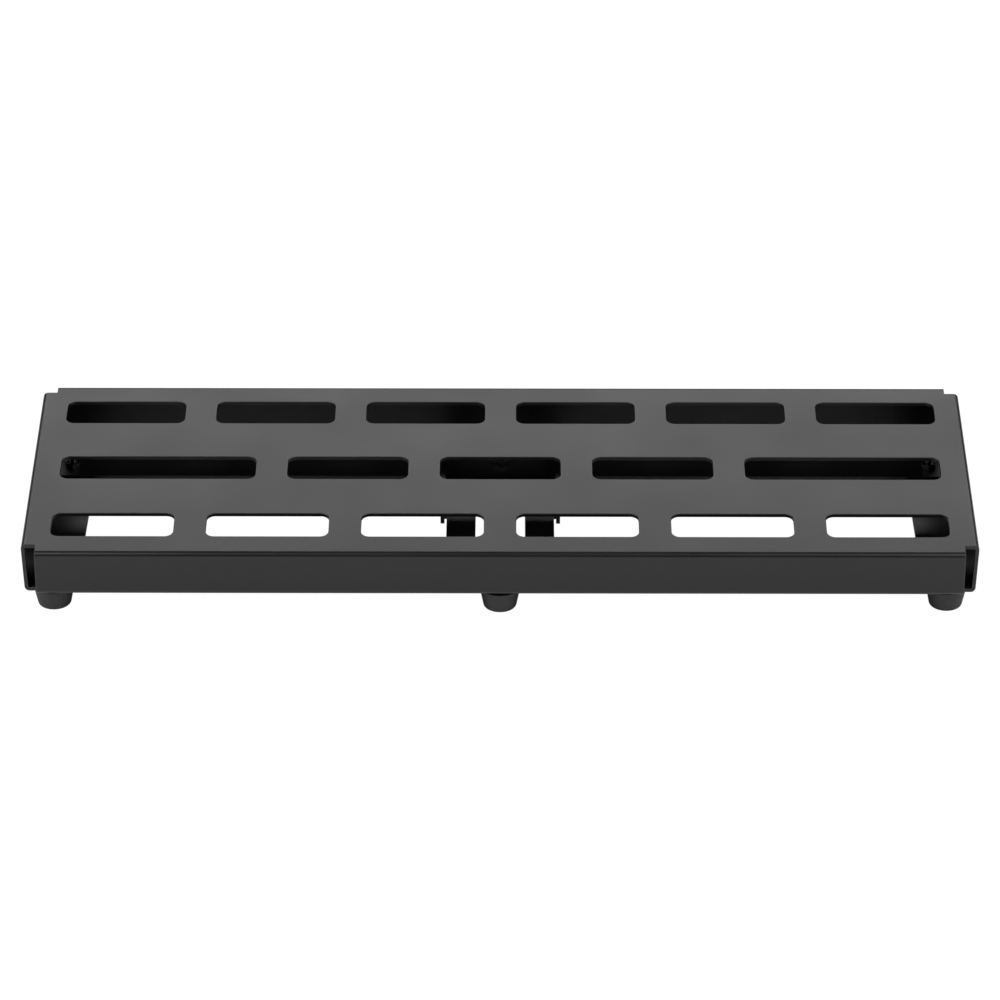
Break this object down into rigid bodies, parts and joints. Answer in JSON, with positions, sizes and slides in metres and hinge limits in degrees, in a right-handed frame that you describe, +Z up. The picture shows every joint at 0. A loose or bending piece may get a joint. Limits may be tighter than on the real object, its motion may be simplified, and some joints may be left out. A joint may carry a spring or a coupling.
{
  "type": "pedalboard",
  "caption": "Compact sloped pedalboard: a folded sheet-metal deck with rows of long rounded slots, a centre brace beneath and screwed rubber feet.",
  "frame": {"origin": "on the floor plane, under the middle of the board", "axes": "+X along the length to the right, +Y from the low front edge to the high rear edge, +Z up"},
  "size_m": [0.4688, 0.142, 0.0536],
  "materials": {
    "powder_coat": "fine-textured satin black powder coat",
    "foot_rubber": "matte moulded black rubber",
    "zinc_steel": "black zinc plate, bright at the edges",
    "nylon": "matte black nylon"
  },
  "bodies": {
    "root": {"chassis": "powder_coat", "centre_brace": "powder_coat", "foot_front_left": "foot_rubber", "foot_washer_front_left": "zinc_steel", "foot_screw_front_left": "zinc_steel", "foot_nut_front_left": "zinc_steel", "foot_front_centre": "foot_rubber", "foot_washer_front_centre": "zinc_steel", "foot_spacer_front_centre": "nylon", "foot_screw_front_centre": "zinc_steel", "foot_nut_front_centre": "zinc_steel", "foot_front_right": "foot_rubber", "foot_washer_front_right": "zinc_steel", "foot_screw_front_right": "zinc_steel", "foot_nut_front_right": "zinc_steel", "foot_rear_left": "foot_rubber", "foot_washer_rear_left": "zinc_steel", "foot_screw_rear_left": "zinc_steel", "foot_nut_rear_left": "zinc_steel", "foot_rear_centre": "foot_rubber", "foot_washer_rear_centre": "zinc_steel", "foot_spacer_rear_centre": "nylon", "foot_screw_rear_centre": "zinc_steel", "foot_nut_rear_centre": "zinc_steel", "foot_rear_right": "foot_rubber", "foot_washer_rear_right": "zinc_steel", "foot_screw_rear_right": "zinc_steel", "foot_nut_rear_right": "zinc_steel"}
  },
  "joints": []
}
